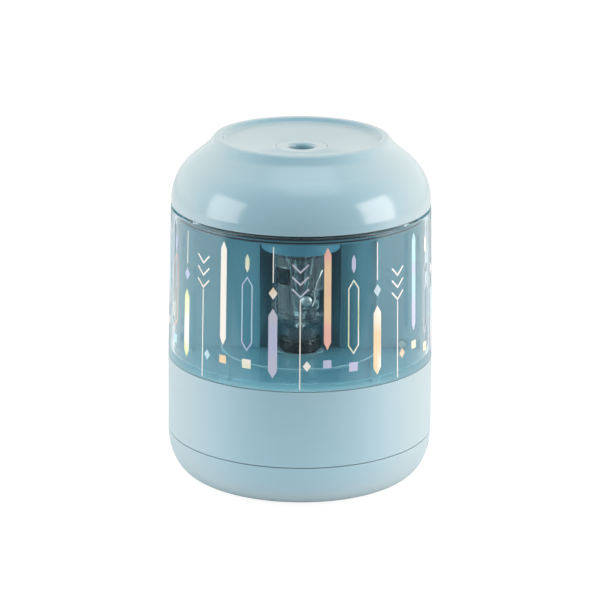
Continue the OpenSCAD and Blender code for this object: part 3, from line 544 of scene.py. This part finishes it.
# %% The bottom cover's openings
DOOR_W, DOOR_D = 54.0, 30.8
PIN_R, FOOT_R, WELL_R = 0.58, 4.05, 2.9
door_hinge = next(joint for joint in frame["joints"] if joint["name"] == "battery_door_hinge")
well_top = span("cover_screws")[0][2] + 1.9
foot_top = span("rubber_feet")[1][2]
doorway = block((-DOOR_W / 2, -DOOR_D / 2, -2), (DOOR_W / 2, DOOR_D / 2, 6))
pin_hole = bar(0, 0, PIN_R, -DOOR_W / 2 - 2, DOOR_W / 2 + 2, 32)
pin_hole.data.transform(Matrix.Translation((0, door_hinge["pos_m"][1], door_hinge["pos_m"][2]))
                        @ Matrix.Rotation(math.pi / 2, 4, "Y"))
ball = ellipse((0, 0), (5, 5), -90, 90, 24)
finger = solid("cutter", *lathe(ball, count=48, offset=(0, -DOOR_D / 2 - 0.7)))
finger.data.transform(Matrix.Translation((0, 0, (cover_z - 3.2) * MM)))
feet = [bar(x, y, FOOT_R, -1, foot_top) for x, y in on_circle(26.5, 50, 130, 230, 310)]
wells = [bar(x, y, WELL_R, -1, well_top) for x, y in SCREWS]
shanks = [bar(x, y, SCREW_R, -1, 20) for x, y in SCREWS]
carve(cover_shape, [doorway, pin_hole, finger] + feet + wells + shanks)
sharpen(cover_shape.data)
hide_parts("bottom_cover")
settle(cover_shape, "housing", satin_blue)

# %% [markdown]
# ## The column behind the drawer
# A half ring of the same satin plastic carries the cap. Its two upright edges face the drawer's edges.

# %% Rear cover
rear_low, rear_high = span("rear_cover")
low_z, high_z = rear_low[2], rear_high[2]
plate_z = span("top_plate")[0][2]
DECK_R, CAP_R = 43.9, 42.75


def wall_r(z):
    """Outer radius of the tapered wall at height z: a straight line from the deck to the cap."""
    return DECK_R - (DECK_R - CAP_R) * (z - deck_z) / (seam_top - deck_z)


rear_shape = solid("rear_cover_shape", *lathe(rounded([
    (wall_r(low_z), low_z, LIP), (wall_r(high_z), high_z, LIP),
    (wall_r(high_z) - WALL, high_z, 0.1), (wall_r(low_z) - WALL, low_z, 0.1)]),
    angles=(0, 180), count=160))
posts = [bar(s * POST_X, POST_Y, BOSS_R, low_z, plate_z) for s in SIDES]
ribs = [block((min(s * POST_X, s * POST_RIB), POST_Y - 0.8, low_z + 0.01),
              (max(s * POST_X, s * POST_RIB), POST_Y + 0.8, plate_z - 0.01)) for s in SIDES]
carve(rear_shape, posts + ribs, "UNION")
carve(rear_shape, [bar(s * POST_X, POST_Y, 1.25, z, z + 13, 32) for s in SIDES
                   for z in (deck_z - 1, plate_z - 12)])
sharpen(rear_shape.data)
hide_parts("rear_cover")
settle(rear_shape, "housing", satin_blue)

# %% [markdown]
# ## The panel, the plate and the small parts behind the drawer
# Two painted shadow lines run round the rim of the top plate, just under the cap, on a rim painted
# darker as shade. The panel is painted darker towards the niche that holds the cutter, as painted shade,
# and the niche itself is painted paler, as painted light where little light reaches it. All are made as
# colour: bands by height on the plate, and on the panel a smooth change with the distance from an upright
# line. The meshes are copies of the CAD ones, merged and eased, because their flat faces and holes are already
# right.

# %% Painted shadow bands on the plate and painted light and shade round the niche
def off_axis(tree, across=0.0):
    """Distance in metres from the upright line through x = across, in mm."""
    beside = add(tree, "ShaderNodeVectorMath", {"operation": "SUBTRACT"}, i0=place_in(tree),
                 i1=(across * MM, 0, 0)).outputs[0]
    flat = add(tree, "ShaderNodeVectorMath", {"operation": "MULTIPLY"}, i0=beside, i1=(1, 1, 0)).outputs[0]
    return add(tree, "ShaderNodeVectorMath", {"operation": "LENGTH"}, i0=flat).outputs["Value"]


def overlay(material, share, colour):
    """Mixes a colour into a plastic's own colour by a share from 0 to 1."""
    tree = material.node_tree
    shader = next(n for n in tree.nodes if n.type == "BSDF_PRINCIPLED")
    plain = shader.inputs["Base Color"].links[0].from_socket
    tree.links.new(mixed(tree, share, plain, colour), shader.inputs["Base Color"])


def painted_shadow_band(material, rim, low, high, colour):
    """Paints shade: colours what is further than rim from the axis and between two heights, all in mm."""
    tree = material.node_tree
    level = add(tree, "ShaderNodeSeparateXYZ", Vector=place_in(tree)).outputs["Z"]
    within = add(tree, "ShaderNodeMath", {"operation": "COMPARE"}, i0=level, i1=(low + high) / 2 * MM,
                 i2=(high - low) / 2 * MM).outputs[0]
    beyond = maths(tree, "GREATER_THAN", off_axis(tree), rim * MM)
    overlay(material, maths(tree, "MULTIPLY", within, beyond), colour)


def niche_painted_light_and_shade(material, inner, outer, colour, across=0.0):
    """Paints shade with a dark colour, light with a pale one: full colour nearer than inner to an upright line,
    none beyond outer, in mm.
    """
    tree = material.node_tree
    share = ramp(tree, off_axis(tree, across), inner * MM, outer * MM, 1.0, 0.0)
    overlay(material, share, colour)


PLATE_RIM = 0.98 * max(np.abs(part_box("top_plate")).max(axis=0)[:2]) / MM
SHADOW_BLACK = srgb(14, 20, 24)
# Painted shade darkens the plate's rim, and two near-black bands are painted shadow lines under the cap.
painted_shadow_band(plate_blue, PLATE_RIM, 88.75, 91.6, srgb(92, 132, 148))
painted_shadow_band(plate_blue, PLATE_RIM, 89.85, 91.6, SHADOW_BLACK)
painted_shadow_band(plate_blue, PLATE_RIM, 88.75, 89.3, SHADOW_BLACK)
# Painted shade on the panel round the niche, set to the right, and painted light inside the niche.
niche_painted_light_and_shade(panel_blue, 11.0, 18.5, srgb(98, 142, 156), across=3.0)
niche_painted_light_and_shade(panel_blue, 13.4, 13.7, srgb(170, 218, 230))
print("plate rim from", round(PLATE_RIM, 2), "mm out")


# %% Copies of CAD shapes with eased edges
def refined(node, bevel=0.0):
    """A copy of a CAD node whose loose triangles are merged, flat faces joined and edges eased."""
    mesh = frame["nodes"][node].data.copy()
    work = bmesh.new()
    work.from_mesh(mesh)
    bmesh.ops.remove_doubles(work, verts=work.verts, dist=2e-6)
    bmesh.ops.dissolve_limit(
        work, angle_limit=math.radians(0.3), verts=work.verts, edges=work.edges)
    work.to_mesh(mesh)
    work.free()
    sharpen(mesh, SHARP_CAD)
    piece = bpy.data.objects.new(node + "_shape", mesh)
    bpy.context.scene.collection.objects.link(piece)
    if bevel:
        ease = piece.modifiers.new("ease", "BEVEL")
        ease.width, ease.segments, ease.limit_method = bevel * MM, 2, "ANGLE"
        ease.angle_limit, ease.harden_normals = math.radians(40), True
    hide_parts(node)
    return piece


settle(refined("inner_panel", 0.2), "housing", panel_blue)
settle(refined("top_plate"), "housing", plate_blue)
settle(refined("ring_gear_collar", 0.12), "housing", collar_teal)
settle(refined("carrier_hub", 0.12), "cutter_head", black_plastic)
settle(refined("cutter_carrier", 0.1), "cutter_head", clear_plastic)
settle(refined("battery_door", 0.2), "door", satin_blue)
settle(refined("dust_seal", 0.1), "housing", seal_rubber)

# %% [markdown]
# ## The screw on the front of the carrier
# It is the one fastener in plain view, so it gets a true pan head: a low dome with a cross recess. It is
# turned about the upright axis first, cut, and then tipped to face the front.

# %% Pan head with a cross recess
screw_low, screw_high = span("carrier_screw")
screw_x, screw_z = (screw_low[0] + screw_high[0]) / 2, (screw_low[2] + screw_high[2]) / 2
HEAD_R, SHANK_R, SLOT, SLOT_DEEP = 1.9, 0.9, (1.15, 0.26), 0.65
dome = ellipse((0, 0.1), (HEAD_R, 0.9), 5, 88, 12)
head = np.stack([dome[::-1, 0], 1 - dome[::-1, 1]], 1)
shank = [[HEAD_R, 1.0], [SHANK_R, 1.0], [SHANK_R, 5.7], [SHANK_R - 0.25, 6.0], [0, 6.0]]
screw = solid("carrier_screw_shape", *lathe(np.vstack([[[0, 0]], head, shank]), count=64))
carve(screw, [block((-a, -b, -1), (a, b, SLOT_DEEP)) for a, b in (SLOT, SLOT[::-1])])
screw.data.transform(Matrix.Translation((screw_x * MM, screw_low[1] * MM, screw_z * MM))
                     @ Matrix.Rotation(-math.pi / 2, 4, "X"))
sharpen(screw.data)
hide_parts("carrier_screw")
settle(screw, "cutter_head", zinc_steel)

# %% [markdown]
# ## The drawer
# A half-round tub of tinted clear plastic. It is modelled as a real wall two millimetres thick with an
# eased lip, because the doubled reflections at its edges come from that thickness. Its underside is
# frosted, and a low rib round the floor is painted pale, a painted highlight that shows as a pale arc.

# %% Drawer wall and floor
drawer_low, drawer_high = span("shavings_drawer")
tub_z, tub_top = drawer_low[2], drawer_high[2]
TUB_WALL, FLOOR, NOTCH = 2.0, 1.6, 10.0
RIB_IN, RIB_OUT, RIB_HIGH = 25.8, 26.4, 0.4
floor_z = tub_z + FLOOR
SPLIT_GAP, SPLIT_R = 0.25, 43.8
edge_turn = math.degrees(math.asin(SPLIT_GAP / SPLIT_R))
tub_outline = rounded([
    (NOTCH, tub_z, 0.2), (wall_r(tub_z), tub_z, 0.35), (wall_r(tub_top), tub_top, 0.3),
    (wall_r(tub_top) - TUB_WALL, tub_top, 0.3), (wall_r(floor_z) - TUB_WALL, floor_z, 0.9),
    (RIB_OUT, floor_z, 0.15), (RIB_OUT, floor_z + RIB_HIGH, 0.15),
    (RIB_IN, floor_z + RIB_HIGH, 0.15), (RIB_IN, floor_z, 0.15), (NOTCH, floor_z, 0.2)])
tub = solid("shavings_drawer_shape", *lathe(
    tub_outline, angles=(180 + edge_turn, 360 - edge_turn), count=200))
carve(tub, [block((s * RAIL_X - GROOVE_HALF, -32.2, tub_z - 1),
                  (s * RAIL_X + GROOVE_HALF, 8, tub_z + 0.85)) for s in SIDES])
sharpen(tub.data)
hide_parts("shavings_drawer")
settle(tub, "drawer", tinted_clear)

# %% Frosted underside and the rib's painted highlight
tub.data.materials.append(frosted_teal)
tub.data.materials.append(rib_painted_highlight)
centres = np.empty(3 * len(tub.data.polygons))
tub.data.polygons.foreach_get("center", centres)
x, y, z = centres.reshape(-1, 3).T / MM
away = np.hypot(x, y)
under = (z < tub_z + 0.9) & (away > NOTCH + 0.3) & (away < wall_r(tub_z) - 0.6)
rib = (z > floor_z + 0.3) & (np.abs(away - (RIB_IN + RIB_OUT) / 2) < 0.4)
finish = np.where(under, 1, np.where(rib, 2, 0))
tub.data.polygons.foreach_set("material_index", finish.astype(np.int32))
print("tub faces: clear, frosted, rib", np.bincount(finish, minlength=3))

# %% [markdown]
# ## The printed pattern
# The drawer's wall is printed with upright lozenges, chevrons, diamonds and squares in pale inks, in a
# repeat of four columns. Each motif is drawn flat, u millimetres round the wall and z up it, and then
# bent onto the cone, a few hundredths of a millimetre proud. Ink is opaque, so it shades the panel behind.

# %% Ribbons bent round the wall
INK_PROUD, INK_SUNK = 0.045, 0.02
PRINT_R = 43.3


def bend(uz, column, lift):
    """Points (u, z) in mm put on the wall: (r sin a, -r cos a, z), lifted off it a little.

    The angle a is column + u / PRINT_R, off the front, and r is the wall's radius at z plus the lift.
    """
    angle = math.radians(column) + uz[..., 0] / PRINT_R
    r = wall_r(uz[..., 1]) + lift
    return np.stack([r * np.sin(angle), -r * np.cos(angle), uz[..., 1]], -1)


def ribbon(left, right, column, across=5, closed=False):
    """A closed thin solid between two edges, each an array of (u, z), bent round the wall.

    Its points are (1 - s) left + s right for s from 0 to 1, once proud of the wall and once sunk in it.
    """
    s = np.linspace(0, 1, across)[None, :, None]
    sheet = left[:, None] * (1 - s) + right[:, None] * s
    rows = len(left)
    top, base = (bend(sheet, column, lift).reshape(-1, 3) for lift in (INK_PROUD, -INK_SUNK))
    upper = grid_faces(rows, across, closed, False)
    n = rows * across
    edge_rows = np.arange(rows if closed else rows - 1)
    after = (edge_rows + 1) % rows
    sides = [np.stack([edge_rows * across + k, after * across + k,
                       after * across + k + n, edge_rows * across + k + n], -1) for k in (0, across - 1)]
    faces = np.vstack([upper, upper[:, ::-1] + n, sides[0][:, ::-1], sides[1]])
    if not closed:
        j = np.arange(across - 1)
        ends = [np.stack([row * across + j, row * across + j + 1,
                          row * across + j + 1 + n, row * across + j + n], -1) for row in (0, rows - 1)]
        faces = np.vstack([faces, ends[0], ends[1][:, ::-1]])
    return np.vstack([top, base]), faces.tolist()


# %% Motifs
def lozenge(column, z0, z1, width, tip, u=0.0):
    """A bar from z0 to z1, pointed over a length tip at each end; half width = w/2 min(1, d / tip)."""
    z = np.unique(np.concatenate([np.linspace(z0, z1, 9), [z0 + tip, z1 - tip]]))
    half = np.minimum(1, np.minimum(z - z0, z1 - z) / tip) * width / 2
    half = np.maximum(half, 0.02)
    return ribbon(np.stack([u - half, z], 1), np.stack([u + half, z], 1), column)


def stroke(column, points, width, closed=False):
    """A line of even width through (u, z) points, mitred: each side is offset by w / 2 / cos(turn / 2)."""
    p = np.array(points, float)
    ends = np.roll(p, -1, 0) if closed else p[1:]
    starts = p if closed else p[:-1]
    counts = np.maximum(1, np.ceil(np.abs(ends - starts)[:, 0] / 0.8)).astype(int)
    path = np.vstack([a + (b - a) * np.arange(n)[:, None] / n for a, b, n in zip(starts, ends, counts)]
                     + ([] if closed else [p[-1:]]))
    ahead = np.roll(path, -1, 0) - path
    back = path - np.roll(path, 1, 0)
    if not closed:
        ahead[-1], back[0] = back[-1], ahead[0]
    ahead /= np.linalg.norm(ahead, axis=1)[:, None]
    back /= np.linalg.norm(back, axis=1)[:, None]
    mean = ahead + back
    mean /= np.linalg.norm(mean, axis=1)[:, None]
    side = np.stack([-mean[:, 1], mean[:, 0]], 1)
    reach = width / 2 / np.maximum((mean * ahead).sum(1), 0.3)
    return ribbon(path + side * reach[:, None], path - side * reach[:, None], column, 2, closed)


def frame_bar(column, z0, z1, width, tip, line):
    """The outline of a lozenge bar, as one closed stroke."""
    half = width / 2
    return stroke(column, [(0, z0), (half, z0 + tip), (half, z1 - tip), (0, z1),
                           (-half, z1 - tip), (-half, z0 + tip)], line, True)


def chevron(column, z, width, height, line):
    """A V open at the top, with its point at height z."""
    return stroke(column, [(-width / 2, z + height), (0, z), (width / 2, z + height)], line)


# %% The repeat of four columns
PRINT_LOW, PRINT_HIGH = tub_z + 0.9, tub_top - 2.9
COLUMN_PITCH, N_COLUMNS = 11.5, 15
FINE, SQUARE_TIP = 0.35, 0.01
motifs = {name: [] for name in ("white", "lavender", "coral", "gold", "cyan", "grey", "lime")}
inks = list(motifs)
for k in range(N_COLUMNS):
    at = (k - (N_COLUMNS - 1) / 2) * COLUMN_PITCH
    shift = 5.0 * ((k * 5) % 7) / 7
    low, high = PRINT_LOW + shift, PRINT_HIGH - shift
    first, second = motifs[inks[(k * 4 + 5) % 7]], motifs[inks[k * 4 % 7]]
    kind = (k + 2) % 4
    if kind == 0:    # a low bar, a diamond over it and a line up to the top
        first.append(lozenge(at, low + 2, low + 25, 2.9, 2.4))
        second.append(lozenge(at, low + 28, low + 32, 2.9, 2.0))
        motifs["white"].append(stroke(at, [(0, low + 33.5), (0, PRINT_HIGH)], FINE))
    elif kind == 1:  # three chevrons on a line, with a diamond beside it
        for j in range(3):
            first.append(chevron(at, high - 8 - 4 * j, 5.2, 2.6, 0.5))
        motifs["white"].append(stroke(at, [(0, high - 16.6), (0, PRINT_LOW)], FINE))
        second.append(lozenge(at, PRINT_LOW + 6, PRINT_LOW + 9.4, 2.6, 1.7, u=2.2))
    elif kind == 2:  # a high bar and a square under it
        first.append(lozenge(at, high - 30, PRINT_HIGH, 2.3, 2.4))
        second.append(lozenge(at, high - 36, high - 33.4, 2.6, SQUARE_TIP))
    else:            # an open bar between a square and a small lozenge
        first.append(frame_bar(at, low + 9, low + 33, 3.4, 2.6, 0.4))
        second.append(lozenge(at, low + 3, low + 6, 3.0, SQUARE_TIP))
        second.append(lozenge(at, PRINT_HIGH - 9, PRINT_HIGH - 3, 1.4, 1.6))
print("motifs:", {name: len(shapes) for name, shapes in motifs.items()})

# %% Inks
INK_COLOURS = dict(
    white=srgb(250, 249, 244), lavender=srgb(192, 202, 234), coral=srgb(240, 190, 179),
    gold=srgb(242, 216, 178), cyan=srgb(176, 224, 238), grey=srgb(200, 206, 222), lime=srgb(222, 236, 184))
PARTNER = dict(white="white", lavender="grey", coral="gold", gold="white", cyan="lavender", grey="cyan",
               lime="white")


def ink(name, colour, partner):
    """A printed ink that shifts in slow waves from one pastel towards another, as pearl ink does."""
    material, tree, out = blank("ink_" + name)
    wave = add(tree, "ShaderNodeTexNoise", {"noise_dimensions": "3D"}, Vector=place_in(tree), Scale=95.0,
               Detail=0.0).outputs["Fac"]
    tone = mixed(tree, ramp(tree, wave, 0.38, 0.66), colour, partner)
    skin = add(tree, "ShaderNodeGroup", {"node_tree": SKIN}, Colour=tone, Drift=0.02, Roughness=0.3,
               Gloss_drift=0.04)
    shader = add(tree, "ShaderNodeBsdfPrincipled", Base_Color=skin.outputs["Colour"],
                 Roughness=skin.outputs["Roughness"], Coat_Weight=0.3)
    tree.links.new(shader.outputs[0], out.inputs["Surface"])
    return material


def joined(*shapes):
    """Several (points, faces) shapes as one."""
    points, faces, base = [], [], 0
    for p, f in shapes:
        points.append(p)
        faces += [[int(i) + base for i in face] for face in f]
        base += len(p)
    return np.vstack(points), faces


for name, shapes in motifs.items():
    piece = solid("print_" + name, *joined(*shapes), sharp=30)
    settle(piece, "drawer", ink(name, INK_COLOURS[name], INK_COLOURS[PARTNER[name]]))

# %% [markdown]
# ## Floor, room, lamps and camera
# The floor and the room are white to the camera and to whatever is seen straight through clear plastic.
# What the gloss mirrors is a studio that is bright behind and dim in front, so the front keeps its depth
# of colour. A soft box stands at each side, a little to the front, so the body is brightest at its
# flanks and the dome shows two square highlights. A weak third one hangs above.

# %% Floor
def white_to_camera(name, near, far):
    """A floor that the camera and clear parts see as nearly white, under a faint shadow.

    To other rays, and to what a clear wall mirrors, its colour goes from near to far between 110 and
    180 mm in front of the object, like the dark end of a studio.
    """
    material, tree, out = blank(name)
    rays = add(tree, "ShaderNodeLightPath")
    ahead = add(tree, "ShaderNodeSeparateXYZ", Vector=place_in(tree)).outputs["Y"]
    front = ramp(tree, ahead, -0.11, -0.18)
    mirrored = maths(tree, "MULTIPLY", front, maths(tree, "MINIMUM", rays.outputs["Glossy Depth"], 1.0))
    through = maths(tree, "MULTIPLY", rays.outputs["Is Transmission Ray"],
                    maths(tree, "SUBTRACT", 1.0, mirrored))
    seen = maths(tree, "MAXIMUM", rays.outputs["Is Camera Ray"], through)
    dark = maths(tree, "MULTIPLY", front, maths(tree, "SUBTRACT", 1.0, seen))
    soft = add(tree, "ShaderNodeBsdfDiffuse", Color=mixed(tree, dark, near, far))
    glow = add(tree, "ShaderNodeEmission", Color=(1, 1, 1, 1), Strength=1.12)
    share = maths(tree, "MULTIPLY", seen, 0.82)
    mix = add(tree, "ShaderNodeMixShader", Fac=share, i1=soft.outputs[0], i2=glow.outputs[0])
    tree.links.new(mix.outputs[0], out.inputs["Surface"])
    return material


HALF = 1500
floor = solid("floor", [[-HALF, -HALF, 0], [HALF, -HALF, 0], [HALF, HALF, 0], [-HALF, HALF, 0]],
              [[0, 1, 2, 3]])
floor.data.materials.append(white_to_camera("floor_white", (0.86, 0.87, 0.88, 1), (0.12, 0.13, 0.14, 1)))
print("floor:", 2 * HALF, "mm square")

# %% Room
FRONT, BACK = 0.27, 1.04
WARM = (1.0, 0.975, 0.94, 1.0)
world = bpy.data.worlds.new("studio")
bpy.context.scene.world = world
world.use_nodes = True
sky = world.node_tree
sky.nodes.clear()
rays = add(sky, "ShaderNodeLightPath")
way = add(sky, "ShaderNodeSeparateXYZ", Vector=add(sky, "ShaderNodeTexCoord").outputs["Generated"])
behind = maths(sky, "ADD", way.outputs["Y"], maths(sky, "MULTIPLY", way.outputs["Z"], 0.3))
room = ramp(sky, behind, -0.5, 0.4, FRONT, BACK)
clear_view = maths(sky, "MAXIMUM", rays.outputs["Is Camera Ray"], rays.outputs["Is Transmission Ray"])
level = maths(sky, "MAXIMUM", clear_view, room)
warmth = maths(sky, "MULTIPLY", ramp(sky, behind, -0.5, 0.4), maths(sky, "SUBTRACT", 1.0, clear_view))
hue = mixed(sky, warmth, (1, 1, 1, 1), WARM)
backdrop = add(sky, "ShaderNodeBackground", Color=hue, Strength=level)
sky_out = sky.nodes.new("ShaderNodeOutputWorld")
sky.links.new(backdrop.outputs[0], sky_out.inputs["Surface"])
print("room: strength", FRONT, "in front and", BACK, "behind")

# %% Soft boxes
LAMP_TARGET = Vector((0, 0, 0.07))


def soft_box(name, azimuth, elevation, distance, width, height, watts, colour):
    """A rectangular lamp on a sphere round the target, azimuth from the front, facing the target."""
    a, e = math.radians(azimuth), math.radians(elevation)
    away = Vector((math.sin(a) * math.cos(e), -math.cos(a) * math.cos(e), math.sin(e)))
    lamp = bpy.data.lights.new(name, "AREA")
    lamp.shape, lamp.size, lamp.size_y, lamp.energy = "RECTANGLE", width, height, watts
    lamp.color = colour
    holder = bpy.data.objects.new(name, lamp)
    holder.location = LAMP_TARGET + away * distance
    holder.rotation_euler = away.to_track_quat("Z", "Y").to_euler()
    bpy.context.scene.collection.objects.link(holder)
    print(f"{name}: {watts} W, {azimuth} degrees round, {elevation} up")


soft_box("left_box", -70, 13, 0.62, 0.36, 0.48, 2.25, (1.0, 0.93, 0.88))
soft_box("right_box", 71, 13, 0.62, 0.36, 0.48, 3.2, (1.0, 0.86, 0.79))
soft_box("top_box", 20, 78, 0.8, 0.5, 0.5, 0.85, (1.0, 0.97, 0.94))

# %% Camera
DISTANCE, ELEVATION, ROLL = 0.900, math.radians(16.84), math.radians(0.442)
FOCAL_PX, FRAME_PX, AXIS_SHIFT_PX = 2710.4, 600, 0.38
aim = Vector((0, 0, 0.0583))
eye = aim + DISTANCE * Vector((0, -math.cos(ELEVATION), math.sin(ELEVATION)))
forward = (aim - eye).normalized()
right = Vector((1, 0, 0))
up = right.cross(forward)
right, up = (right * math.cos(ROLL) + up * math.sin(ROLL), up * math.cos(ROLL) - right * math.sin(ROLL))
view = bpy.data.cameras.new("camera")
view.sensor_width = 36
view.lens = view.sensor_width * FOCAL_PX / FRAME_PX
view.shift_x = -AXIS_SHIFT_PX / FRAME_PX
view.clip_start, view.clip_end = 0.01, 20
camera = bpy.data.objects.new("camera", view)
pose = Matrix((right, up, -forward)).transposed().to_4x4()
pose.translation = eye
camera.matrix_world = pose
bpy.context.scene.collection.objects.link(camera)
bpy.context.scene.camera = camera
bpy.context.scene.view_settings.view_transform = "Standard"
print("camera:", round(view.lens, 1), "mm lens at", [round(c, 3) for c in eye], "m")
